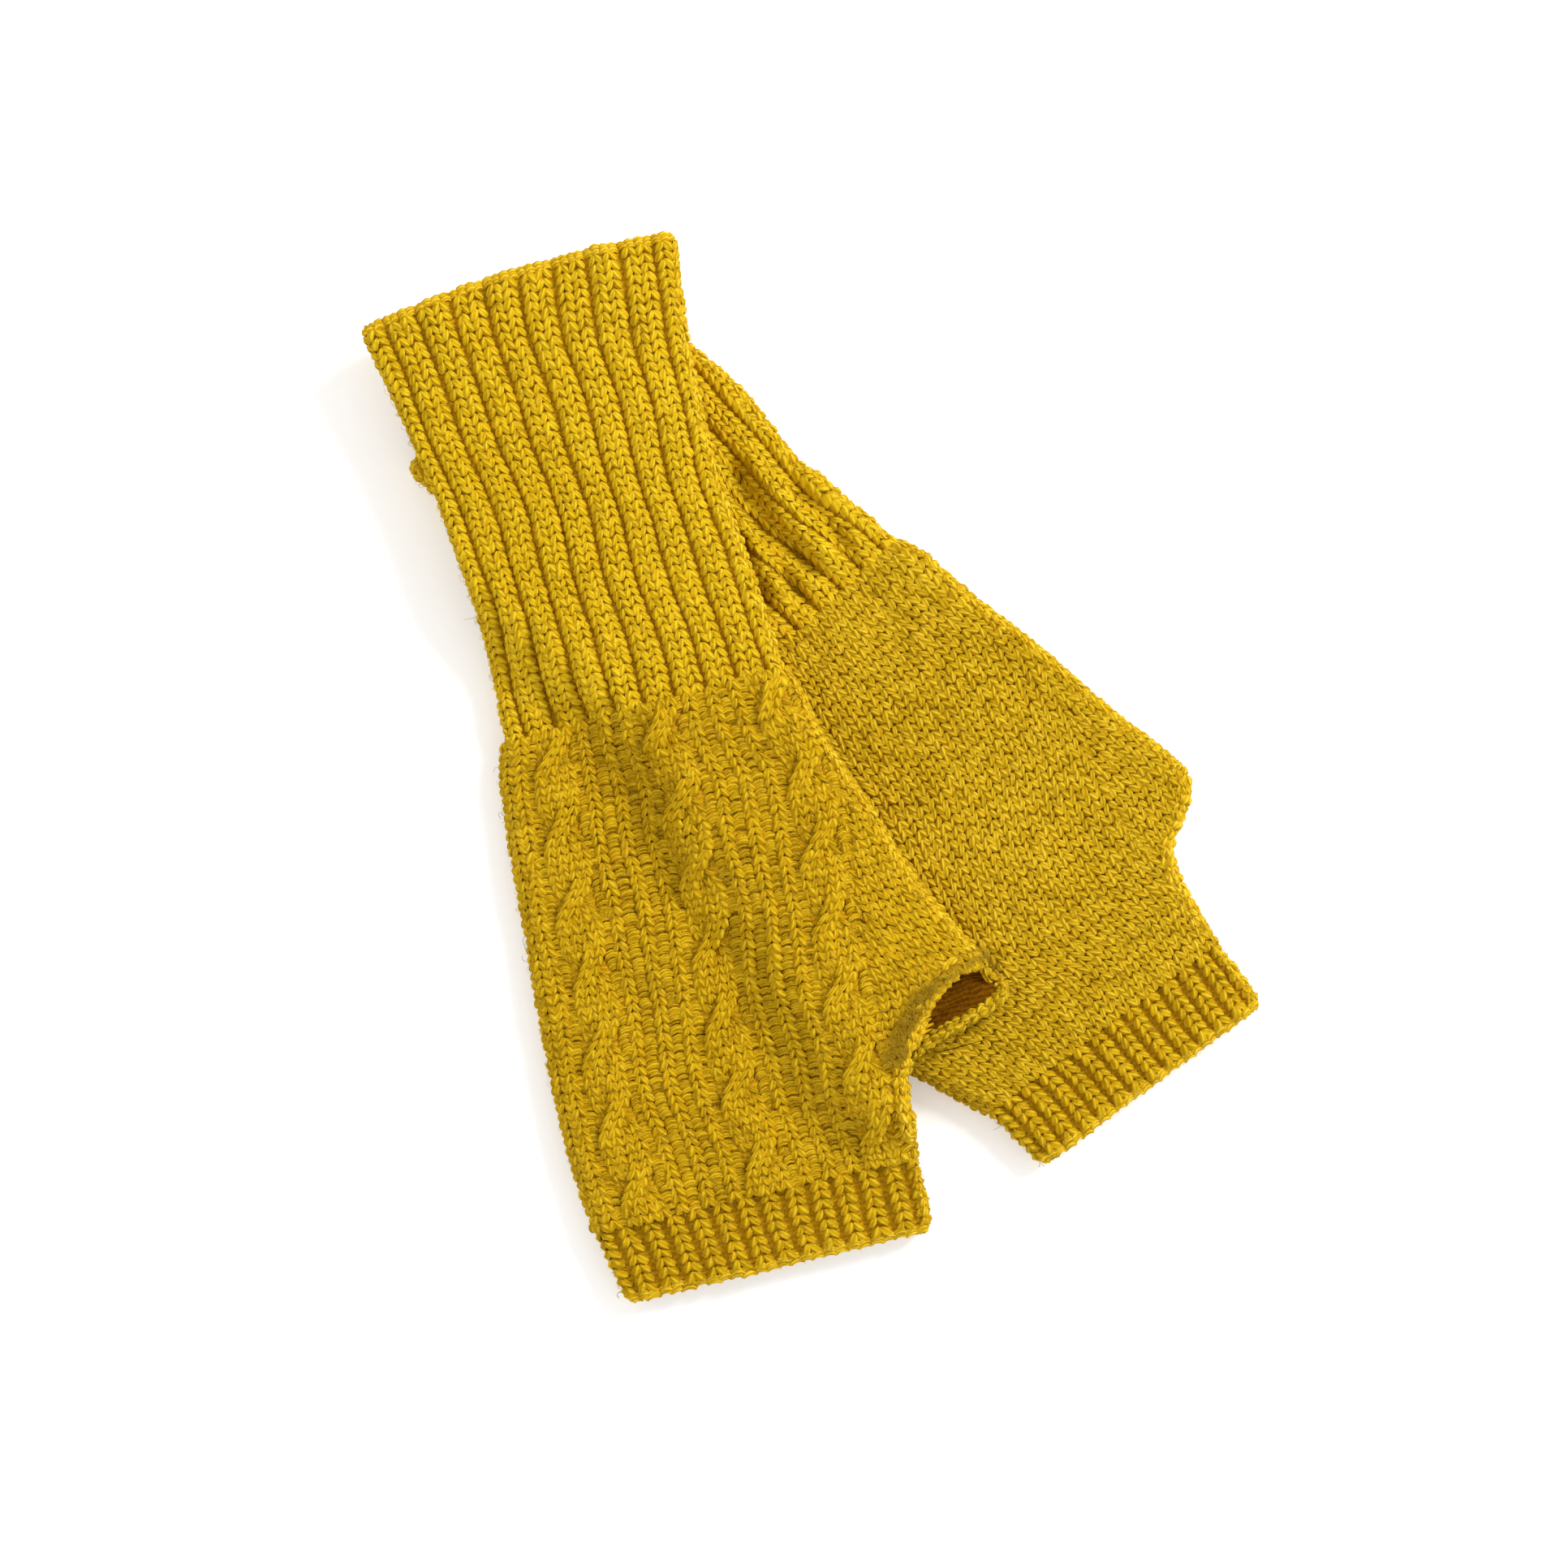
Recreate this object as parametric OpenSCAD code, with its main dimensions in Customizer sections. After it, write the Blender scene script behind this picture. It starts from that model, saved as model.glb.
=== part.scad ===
// A pair of knitted fingerless gloves, laid down with one glove across the other.
// Each glove is a flat tube: a rib cuff, a hand with a thumb slit in its side seam, and a finger hem.
// A glove is drawn along its own centre line. s runs from the wrist, towards the fingers.
// u runs across, towards the seam side, and h runs up from the glove's lower face.

/* [Glove length] */
// Length of the upper glove's ribbed cuff, mouth to wrist
cuff_len = 111; // [70:1:140]
// Length lost from the under glove's cuff, which is pushed up into creases at the wrist
cuff_tuck = 8; // [0:1:15]
// Length of the hand, wrist to finger hem
hand_len = 130; // [110:1:160]
// Length of the finger hem
hem_len = 18; // [10:1:35]
// Length of the cast-on edge and of the bind-off edge
edge_len = 2.4; // [1.5:0.1:4]

/* [Glove width] */
// Width of the upper glove's cuff at its mouth
mouth_w = 84; // [72:1:105]
// Width of the under glove's cuff at its mouth
under_mouth_w = 74; // [70:1:105]
// Width of the cuff at its narrowest
waist_w = 71; // [60:1:90]
// Width at the wrist
wrist_w = 75; // [62:1:95]
// Width from the fold to the hand's middle, doubled
palm_w = 89; // [76:1:110]

/* [Fabric] */
// Thickness of one knitted layer
wall = 2.6; // [1.8:0.1:3.4]
// Space between the two layers, for the hand
hand_gap = 4.8; // [4.4:0.1:7]
// Extra height of the upper glove's cuff mouth, which stands open
mouth_rise = 3; // [0:0.5:8]
// Width of the seam allowance inside the side seam
seam_w = 1.6; // [1:0.1:2.2]

/* [Thumb slit] */
// Distance from the wrist to the start of the slit
slit_at = 90; // [70:1:96]
// Length of the slit
slit_len = 36; // [28:1:38]
// Width of the knitted edge round the slit
slit_edge = 1.8; // [1:0.1:3]

/* [Lay of the pair] */
// Direction of the upper glove's hand, in degrees from +X
upper_hand_dir = -76.5; // [-95:0.5:-60]
// Direction of the upper glove's cuff
upper_cuff_dir = -73.5; // [-90:0.5:-60]
// Reach of the upper glove's thumb gusset from the centre line
upper_thumb = 70; // [50:1:80]
// Width of the upper glove's finger hem
upper_hem_w = 82; // [66:1:100]
// Direction of the under glove's hand
under_hand_dir = -53.5; // [-65:0.5:-40]
// Direction of the under glove's cuff
under_cuff_dir = -39.7; // [-50:0.1:-30]
// Reach of the under glove's thumb gusset from the centre line
under_thumb = 55; // [48:1:75]
// Width of the under glove's finger hem
under_hem_w = 71; // [60:1:90]
// Width drawn in at the under glove's creased wrist, on its seam side
under_draw = 7; // [0:0.5:10]
// Length over which the upper glove slopes down beside the under glove
drape = 20; // [16:1:40]

/* [Clearances] */
// Space between the two gloves where one lies on the other
rest_gap = 1.0; // [0.4:0.1:1.5]
// Space between neighbouring parts that can fold
fold_gap = 0.4; // [0.3:0.1:1]
// Space between parts that are knitted or linked together
knit_gap = 0.1; // [0.05:0.05:0.2]

/* [Hidden] */
thick = 2 * wall + hand_gap;
half_fold = knit_gap / 2;
bend_len = 44;
arc_steps = 3;
flat_steps = 8;
station = 7;
bed_margin = 8;
// Wrist points. The frame's origin is under the middle of the pair.
upper_wrist = [-44.3, 17.5];
under_wrist = [-2.5, 38.5];

// The fold side and the seam side of a glove: half width against distance from the wrist
function fold_side(cuff, mouth, hem_w, bulge) = [
    [-cuff, mouth / 2], [-0.65 * cuff, waist_w / 2 + 1.5], [-0.35 * cuff, waist_w / 2 - 0.5],
    [0, wrist_w / 2], [0.09 * hand_len, palm_w / 2 - 4], [0.42 * hand_len, palm_w / 2 - 0.8],
    [0.77 * hand_len, palm_w / 2 + bulge], [hand_len, hem_w / 2 + 3.2], [hand_len + hem_len, hem_w / 2]];
function seam_side(cuff, mouth, hem_w, reach, draw) = [
    [-cuff, mouth / 2], [-0.83 * cuff, (mouth + waist_w) / 4 - 0.5], [-0.55 * cuff, waist_w / 2],
    [-0.2 * cuff, waist_w / 2 + 1 - draw], [0, wrist_w / 2 + 0.5 - 0.8 * draw],
    [slit_at - 54, 0.55 * wrist_w / 2 + 0.4 * reach], [slit_at - 22, 0.23 * wrist_w / 2 + 0.75 * reach],
    [slit_at - 3, reach], [slit_at + 5, reach - 3], [slit_at + 13, hem_w / 2 + 5],
    [slit_at + 24, hem_w / 2 + 1], [hand_len + hem_len, hem_w / 2]];

// A glove: wrist point, hand direction, cuff direction, fold side, seam side, mouth rise, lies on
// top, cuff length
UPPER = [upper_wrist, upper_hand_dir, upper_cuff_dir,
    fold_side(cuff_len, mouth_w, upper_hem_w, 1.5),
    seam_side(cuff_len, mouth_w, upper_hem_w, upper_thumb, 0),
    mouth_rise, true, cuff_len];
under_cuff = cuff_len - cuff_tuck;
UNDER = [under_wrist, under_hand_dir, under_cuff_dir,
    fold_side(under_cuff, under_mouth_w, under_hem_w, 6),
    seam_side(under_cuff, under_mouth_w, under_hem_w, under_thumb, under_draw),
    0, false, under_cuff];

function clamp(x, low = 0, high = 1) = min(max(x, low), high);
function ease(x) = let (c = clamp(x)) c * c * (3 - 2 * c);

// A smooth curve through knots of [distance, value]
function knot_at(k, t, i = 0) = i >= len(k) - 2 || t < k[i + 1][0] ? i : knot_at(k, t, i + 1);
function slope(k, i) = let (a = max(i - 1, 0), b = min(i + 1, len(k) - 1))
    (k[b][1] - k[a][1]) / (k[b][0] - k[a][0]);
function curve(k, t) = let (
    i = knot_at(k, t), span = k[i + 1][0] - k[i][0], x = clamp((t - k[i][0]) / span),
    x2 = x * x, x3 = x2 * x)
    (2 * x3 - 3 * x2 + 1) * k[i][1] + (x3 - 2 * x2 + x) * span * slope(k, i)
    + (3 * x2 - 2 * x3) * k[i + 1][1] + (x3 - x2) * span * slope(k, i + 1);

// The centre line is straight along the cuff and the hand, with an arc round the wrist
function heading(g, s) = g[2] + (g[1] - g[2]) * clamp((s + bend_len / 2) / bend_len);
function chord(x) = x == 0 ? 1 : sin(x) * 180 / (PI * x);
function along(a) = [cos(a), sin(a)];
function across(a) = [-sin(a), cos(a)];
function centre(g, s) = let (
    in_arc = clamp(s, -bend_len / 2, bend_len / 2),
    turn = (g[1] - g[2]) / bend_len * in_arc / 2,
    mid = (g[1] + g[2]) / 2)
    g[0] + in_arc * chord(turn) * along(mid + turn) + (s - in_arc) * along(heading(g, s));

// Distance along and across a glove of the plan point p, found by stepping along its centre line
function locate(g, p, s = 0, left = 6) = let (a = heading(g, s), d = p - centre(g, s))
    left == 0 ? [s, d * across(a)] : locate(g, p, s + d * along(a), left - 1);
// Distance of the plan point p outside the under glove's long edges
function outside(p) = let (q = locate(UNDER, p))
    max(0, -curve(UNDER[3], q[0]) - q[1], q[0] - hand_len - hem_len - edge_len);
// Height of the surface that a glove lies on
function bed(g, p) = g[6] ? (thick + rest_gap) * (1 - ease((outside(p) - bed_margin) / drape)) : 0;

// Height of a glove's tube at s, and how far its seam is open there, from 0 to 1
function tube(g, s) = thick + g[5] * ease((-s - g[7] + 30) / 30);
function open_at(s) = min(ease((s - slit_at) / 5), ease((slit_at + slit_len - s) / 5));

// One pair [outer, inner] of [u, h] points of the upper layer, for step j of its profile
steps = 2 * arc_steps + flat_steps;
function profile(g, s, j) = let (
    t = tube(g, s), r = t / 2, ri = r - wall,
    wf = curve(g[3], s), ws = curve(g[4], s), o = open_at(s),
    af = 90 * j / arc_steps, as = 90 * (steps - j) / arc_steps,
    k = (j - arc_steps) / flat_steps)
    j < arc_steps ? [
        [-wf + r - r * cos(af), r + r * sin(af) + half_fold * cos(af)],
        [-wf + r - ri * cos(af), r + ri * sin(af) + half_fold * cos(af)]]
    : j <= arc_steps + flat_steps ? let (u = (1 - k) * (r - wf) + k * (ws - r)) [[u, t], [u, t - wall]]
    : let (lift = 1 - sin(as), out = 1 - cos(as)) [
        [ws - r + r * cos(as) + o * r * (1 - cos(as)) * (1 - as / 90), r + r * sin(as) + o * r * lift
            + (1 - o) * half_fold * cos(as)],
        [ws - r + ri * cos(as) + o * (r * (1 - as / 90) - ri * cos(as)), r + ri * sin(as) + o * ri * lift
            + (1 - o) * half_fold * cos(as)]];
// The palm layer is the back layer turned over, or the other way round on the under glove
function layer(g, s, j, top) = let (q = profile(g, s, j))
    top ? q : [for (v = q) [v[0], tube(g, s) - v[1]]];

// A point of a glove, from [u, h] at s
function place(g, s, v) = let (p = centre(g, s) + v[0] * across(heading(g, s)))
    [p[0], p[1], bed(g, p) + v[1]];

function stations(a, b) = let (n = max(2, ceil((b - a) / station))) [for (i = [0:n]) a + (b - a) * i / n];
// Whatever lies against the hand's layers turns at the same stations as they do
function hand_stations(a, b) = [for (s = stations(0, hand_len)) if (s >= a && s <= b) s];

// The end of a loft, closed by triangles that zigzag between the two long sides of its ring
function zig(n, j) = j % 2 == 0 ? j / 2 : n - 1 - (j - 1) / 2;
function cap(n, first, back) = [for (j = [0:n - 3]) let (
    a = first + zig(n, j), b = first + zig(n, j + 1), c = first + zig(n, j + 2))
    (j % 2 == 0) == back ? [a, b, c] : [a, c, b]];

// A solid through rings of points, one ring per station, all with n points
module loft(rings) {
    n = len(rings[0]);
    m = len(rings);
    sides = [for (i = [0:m - 2], j = [0:n - 1]) let (
        a = i * n + j, b = i * n + (j + 1) % n, c = a + n, d = b + n)
        each [[a, b, d], [a, d, c]]];
    polyhedron(points = [for (r = rings) each r],
        faces = concat(sides, cap(n, 0, true), cap(n, (m - 1) * n, false)), convexity = 6);
}

// A closed ring of fabric round the tube between two stations
module collar(g, a, b) {
    n = 2 * steps;
    function at(s, j) = let (
        top = j <= steps,
        q = layer(g, s, top ? j : n - j, top),
        flat = j % steps == 0 ? [for (v = q) [v[0], tube(g, s) / 2]] : q)
        [for (v = flat) place(g, s, v)];
    pts = [for (s = [a, b], j = [0:n - 1]) each at(s, j)];
    faces = [for (j = [0:n - 1]) let (k = (j + 1) % n, o = 2 * j, p = 2 * k, e = 2 * n) each [
        [o, p, e + p], [o, e + p, e + o],
        [o + 1, e + o + 1, e + p + 1], [o + 1, e + p + 1, p + 1],
        [o, o + 1, p + 1], [o, p + 1, p],
        [e + o, e + p, e + p + 1], [e + o, e + p + 1, e + o + 1]]];
    polyhedron(points = pts, faces = faces, convexity = 6);
}

// One layer of fabric from the fold to the seam
module fabric(g, at, top) {
    rings = [for (s = at) let (q = [for (j = [0:steps]) layer(g, s, j, top)])
        concat([for (j = [0:steps]) place(g, s, q[j][0])], [for (j = [steps:-1:0]) place(g, s, q[j][1])])];
    loft(top ? rings : [for (i = [len(rings) - 1:-1:0]) rings[i]]);
}

// The seam allowance, a bar that fills the tube's rounded side
module seam(g, at) {
    rings = [for (s = at) let (
        r = tube(g, s) / 2, ri = r - wall - knit_gap, cut = ri - seam_w,
        c = curve(g[4], s) - r, half = acos(clamp(cut / ri, 0.05, 0.95)))
        [for (k = [-2:2]) let (w = half * k / 2) place(g, s, [c + ri * cos(w), r + ri * sin(w)])]];
    loft([for (i = [len(rings) - 1:-1:0]) rings[i]]);
}

// The knitted edge along one side of the thumb slit, half round, against the layer's cut edge
module slit_bar(g, top) {
    rings = [for (s = hand_stations(slit_at + 4, slit_at + slit_len - 4)) let (
        q = layer(g, s, steps, top), mid = (q[0] + q[1]) / 2)
        [for (k = [-2:2]) let (w = 45 * k)
            place(g, s, mid + [knit_gap + slit_edge * cos(w), wall / 2 * sin(w)])]];
    loft([for (i = [len(rings) - 1:-1:0]) rings[i]]);
}

cuff_to = -fold_gap;
hem_from = hand_len + fold_gap;
hem_to = hand_len + hem_len;

// Parts of either glove. The upper glove lies with its back up, the under glove with its palm up.
module cast_on_edge(g) { color([0.72, 0.56, 0.08]) collar(g, -g[7] - edge_len, -g[7] - knit_gap); }
module cuff_layer(g, top) { color([0.77, 0.62, 0.08]) fabric(g, stations(-g[7], cuff_to), top); }
module cuff_seam(g) { color([0.61, 0.46, 0.03]) seam(g, stations(-g[7], cuff_to)); }
module back_panel(g, top) { color([0.70, 0.55, 0.06]) fabric(g, stations(0, hand_len), top); }
module palm_panel(g, top) { color([0.77, 0.62, 0.12]) fabric(g, stations(0, hand_len), top); }
module hand_seam(g) { color([0.61, 0.46, 0.03]) seam(g, hand_stations(0, slit_at)); }
module slit_edge_bar(g, top) { color([0.83, 0.68, 0.18]) slit_bar(g, top); }
module hem_layer(g, top) { color([0.68, 0.51, 0.05]) fabric(g, stations(hem_from, hem_to), top); }
module hem_seam(g) { color([0.61, 0.46, 0.03]) seam(g, stations(hem_from, hem_to)); }
module bind_off_edge(g) { color([0.74, 0.58, 0.1]) collar(g, hem_to + knit_gap, hem_to + edge_len); }

cast_on_edge(UPPER);  // upper_cast_on_edge
cuff_layer(UPPER, true);  // upper_cuff_back
cuff_layer(UPPER, false);  // upper_cuff_palm
cuff_seam(UPPER);  // upper_cuff_seam
back_panel(UPPER, true);  // upper_back_panel
palm_panel(UPPER, false);  // upper_palm_panel
hand_seam(UPPER);  // upper_hand_seam
slit_edge_bar(UPPER, true);  // upper_slit_edge_back
slit_edge_bar(UPPER, false);  // upper_slit_edge_palm
hem_layer(UPPER, true);  // upper_hem_back
hem_layer(UPPER, false);  // upper_hem_palm
hem_seam(UPPER);  // upper_hem_seam
bind_off_edge(UPPER);  // upper_bind_off_edge
cast_on_edge(UNDER);  // under_cast_on_edge
cuff_layer(UNDER, false);  // under_cuff_back
cuff_layer(UNDER, true);  // under_cuff_palm
cuff_seam(UNDER);  // under_cuff_seam
back_panel(UNDER, false);  // under_back_panel
palm_panel(UNDER, true);  // under_palm_panel
hand_seam(UNDER);  // under_hand_seam
slit_edge_bar(UNDER, false);  // under_slit_edge_back
slit_edge_bar(UNDER, true);  // under_slit_edge_palm
hem_layer(UNDER, false);  // under_hem_back
hem_layer(UNDER, true);  // under_hem_palm
hem_seam(UNDER);  // under_hem_seam
bind_off_edge(UNDER);  // under_bind_off_edge
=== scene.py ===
# %% [markdown]
# # A pair of cable-knit fingerless gloves
# Two long wool gloves lie one across the other. Each is a flat knitted tube: a 2x2 rib cuff, a hand
# with a thumb slit in its side seam, and a 1x1 rib finger hem. This lesson builds them stitch by
# stitch. A bump map could fake a knit from far away, but its outline would stay smooth and its
# stitches would not shade each other, so every stitch here is a small real loop of yarn.
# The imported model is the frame: its bodies carry the pieces, and its box is the size to keep to.

# %% Load the frame
import math
from types import SimpleNamespace

import bmesh
import bpy
import numpy as np
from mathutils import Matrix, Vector


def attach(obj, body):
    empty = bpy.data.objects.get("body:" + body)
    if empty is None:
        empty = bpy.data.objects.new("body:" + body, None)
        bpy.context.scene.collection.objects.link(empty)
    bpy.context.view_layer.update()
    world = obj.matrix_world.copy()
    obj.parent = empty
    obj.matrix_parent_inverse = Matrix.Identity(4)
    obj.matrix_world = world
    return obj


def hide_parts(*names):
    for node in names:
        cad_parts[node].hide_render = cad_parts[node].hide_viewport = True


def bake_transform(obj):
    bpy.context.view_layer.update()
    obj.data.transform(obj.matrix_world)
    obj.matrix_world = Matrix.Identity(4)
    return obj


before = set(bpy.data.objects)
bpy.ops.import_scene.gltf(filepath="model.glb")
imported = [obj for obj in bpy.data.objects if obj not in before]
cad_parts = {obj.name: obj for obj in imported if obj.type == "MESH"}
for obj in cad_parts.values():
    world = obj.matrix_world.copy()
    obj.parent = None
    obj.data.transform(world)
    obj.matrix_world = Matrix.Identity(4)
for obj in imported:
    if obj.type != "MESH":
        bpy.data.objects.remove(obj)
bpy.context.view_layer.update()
rng = np.random.default_rng(7)
MM = 0.001

# %% [markdown]
# ## The gloves' sizes
# A glove is drawn along its centre line, as a pattern cutter would draw it. `s` is the distance from
# the wrist in millimetres, positive towards the fingers, and the half widths on the fold side and on
# the seam side are smooth curves through a few knots. The sizes repeat those of the frame.

# %% Sizes shared by both gloves, in millimetres
CUFF, CUFF_TUCK, HAND, HEM, EDGE = 111, 8, 130, 18, 2.4
MOUTH_W, UNDER_MOUTH_W, WAIST_W, WRIST_W, PALM_W = 84, 74, 71, 75, 89
WALL, ROOM, MOUTH_RISE = 2.6, 4.8, 3
SLIT_AT, SLIT_LEN = 90, 36
DRAPE, REST_GAP, BEND = 20, 1.0, 44
BED_MARGIN = 8
THICK = 2 * WALL + ROOM


def fold_side(cuff, mouth, hem_w, bulge):
    """Half width on the fold side, as knots of (distance from the wrist, half width)."""
    return [
        (-cuff, mouth / 2), (-0.65 * cuff, WAIST_W / 2 + 1.5), (-0.35 * cuff, WAIST_W / 2 - 0.5),
        (0, WRIST_W / 2), (0.09 * HAND, PALM_W / 2 - 4), (0.42 * HAND, PALM_W / 2 - 0.8),
        (0.77 * HAND, PALM_W / 2 + bulge), (HAND, hem_w / 2 + 3.2), (HAND + HEM, hem_w / 2)]


def seam_side(cuff, mouth, hem_w, reach, draw):
    """Half width on the seam side, out to the tip of the thumb gusset."""
    return [
        (-cuff, mouth / 2), (-0.83 * cuff, (mouth + WAIST_W) / 4 - 0.5), (-0.55 * cuff, WAIST_W / 2),
        (-0.2 * cuff, WAIST_W / 2 + 1 - draw), (0, WRIST_W / 2 + 0.5 - 0.8 * draw),
        (SLIT_AT - 54, 0.55 * WRIST_W / 2 + 0.4 * reach),
        (SLIT_AT - 22, 0.23 * WRIST_W / 2 + 0.75 * reach), (SLIT_AT - 3, reach),
        (SLIT_AT + 5, reach - 3), (SLIT_AT + 13, hem_w / 2 + 5), (SLIT_AT + 24, hem_w / 2 + 1),
        (HAND + HEM, hem_w / 2)]


UNDER_CUFF = CUFF - CUFF_TUCK
UPPER = dict(
    name="upper", wrist=(-44.3, 17.5), hand_dir=-76.5, cuff_dir=-73.5, cuff=CUFF, rise=MOUTH_RISE,
    fold=fold_side(CUFF, MOUTH_W, 82, 1.5), seam=seam_side(CUFF, MOUTH_W, 82, 70, 0))
UNDER = dict(
    name="under", wrist=(-2.5, 38.5), hand_dir=-53.5, cuff_dir=-39.7, cuff=UNDER_CUFF, rise=0,
    fold=fold_side(UNDER_CUFF, UNDER_MOUTH_W, 71, 6),
    seam=seam_side(UNDER_CUFF, UNDER_MOUTH_W, 71, 55, 7))

# %% [markdown]
# ## Smooth curves and the centre line
# `ease` is the smoothstep curve. `curve` is a cubic Hermite spline, the same kind of curve that a
# Bezier handle makes, but it is evaluated for a whole array at once, which keeps thousands of
# stitches fast. The centre line is straight along the cuff and the hand, with an arc at the wrist.

# %% Curves and centre line
def ease(x):
    x = np.clip(x, 0, 1)
    return x * x * (3 - 2 * x)


def bump(x, width):
    """A soft hill of height 1 at x = 0."""
    return np.exp(-(x / width) ** 2)


def curve(knots, t):
    k = np.array(knots, float)
    slopes = np.empty(len(k))
    for i in range(len(k)):
        a, b = max(i - 1, 0), min(i + 1, len(k) - 1)
        slopes[i] = (k[b, 1] - k[a, 1]) / (k[b, 0] - k[a, 0])
    i = np.clip(np.searchsorted(k[:, 0], t, side="right") - 1, 0, len(k) - 2)
    span = k[i + 1, 0] - k[i, 0]
    x = np.clip((t - k[i, 0]) / span, 0, 1)
    x2, x3 = x * x, x * x * x
    return ((2 * x3 - 3 * x2 + 1) * k[i, 1] + (x3 - 2 * x2 + x) * span * slopes[i]
            + (3 * x2 - 2 * x3) * k[i + 1, 1] + (x3 - x2) * span * slopes[i + 1])


def heading(g, s):
    share = np.clip((s + BEND / 2) / BEND, 0, 1)
    return np.radians(g["cuff_dir"] + (g["hand_dir"] - g["cuff_dir"]) * share)


def centre(g, s):
    arc = np.clip(s, -BEND / 2, BEND / 2)
    turn = math.radians(g["hand_dir"] - g["cuff_dir"]) / BEND * arc / 2
    mid = math.radians(g["hand_dir"] + g["cuff_dir"]) / 2
    chord, a = arc * np.sinc(turn / math.pi), heading(g, s)
    return (g["wrist"][0] + chord * np.cos(mid + turn) + (s - arc) * np.cos(a),
            g["wrist"][1] + chord * np.sin(mid + turn) + (s - arc) * np.sin(a))


def locate(g, x, y):
    """Distance along and across a glove of plan points, found by stepping along its centre line."""
    s = np.zeros_like(x)
    for _ in range(6):
        cx, cy = centre(g, s)
        a = heading(g, s)
        s = s + (x - cx) * np.cos(a) + (y - cy) * np.sin(a)
    cx, cy = centre(g, s)
    a = heading(g, s)
    return s, (y - cy) * np.cos(a) - (x - cx) * np.sin(a)


def bed(g, x, y):
    """Height of what a glove lies on: the table, or for the upper glove the under glove's back."""
    if g is UNDER:
        return np.zeros_like(x)
    s, u = locate(UNDER, x, y)
    outside = np.maximum(0, np.maximum(-curve(UNDER["fold"], s) - u, s - HAND - HEM - EDGE))
    return (THICK + REST_GAP) * (1 - ease((outside - BED_MARGIN) / DRAPE))

# %% [markdown]
# ## A layer of fabric as a surface
# Each glove has two layers that meet at the fold and at the seam. A layer is a grid: `s` runs along
# it and `q`, from 0 at the fold to 1 at the seam, runs across it round both rounded sides. Points and
# normals are worked out once per layer, and each stitch is then looked up in that grid. The grid also
# carries what the whole fabric does: soft waves, the creases at the wrist and the lifted thumb rim.
# The cloth of the upper back ends early, where the thumb mouth is cut out of it, and a layer that
# lies underneath is pressed flat by the weight above.

# %% The layer grids
STEP, COLUMNS = 1.0, 141  # mm between the rows of a grid, and the points in each row
MOUTH_END = 104  # mm from the wrist, where the thumb mouth ends
MOUTH_BOW = 2.6  # mm that the cuff edge bows out in its middle
MOUTH_AT = 96  # mm from the wrist, the middle of the thumb mouth
PRESS, PRESS_UP = 0.55, 0.9  # share of the relief lost underneath, and mm that the layer moves up


def plan_distance(x, y, a, b):
    """Distance of plan points from the segment a-b, and the share of the way along it."""
    dx, dy = b[0] - a[0], b[1] - a[1]
    t = np.clip(((x - a[0]) * dx + (y - a[1]) * dy) / (dx * dx + dy * dy), 0, 1)
    return np.hypot(x - a[0] - t * dx, y - a[1] - t * dy), t


# Creases across the under glove's wrist, in mm: start, end, depth and width
WRIST_CREASES = [
    ((-26.4, 85.9), (3, 47), 5.0, 2.4), ((-23.2, 78.5), (-1, 41), 4.4, 2.2), ((-9, 78), (12, 55), 3.4, 2.0),
    ((-33, 84), (-10, 40), 2.6, 2.0)]
WRIST_HOLLOW = ((9, 47), (20, 37), 2.2, 6.5)  # a wider dip beside them, in the same order


def waves(x, y, seed):
    """Gentle unevenness of a soft fabric, about half a millimetre high."""
    w = np.zeros_like(x)
    for k, (length, turn) in enumerate([(61, 0.4), (43, 1.7), (31, 2.6), (23, 0.9)]):
        w += np.sin((x * math.cos(turn) + y * math.sin(turn)) * 2 * math.pi / length + seed + 1.9 * k)
    return 0.16 * w


# the thumb mouth cuts into the upper back: mm to the seam side of the centre line, against s
MOUTH_EDGE = [(84, 78), (84.8, 67), (86.8, 60), (90, 55), (94, 51.5), (99, 48), (104, 45.6), (108, 60)]


def mouth_at(lay, s):
    """Where the cloth ends across a layer, in mm from the fold: at the seam, or at the thumb mouth."""
    width = np.interp(s, lay["s"], lay["width"])
    if not lay["mouth"]:
        return width
    g = lay["glove"]
    mouth = curve(MOUTH_EDGE, s) + curve(g["fold"], s) + (math.pi / 2 - 1) * THICK / 2
    return np.where((s > MOUTH_EDGE[0][0]) & (s < MOUTH_EDGE[-1][0]), np.minimum(mouth, width), width)


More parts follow.
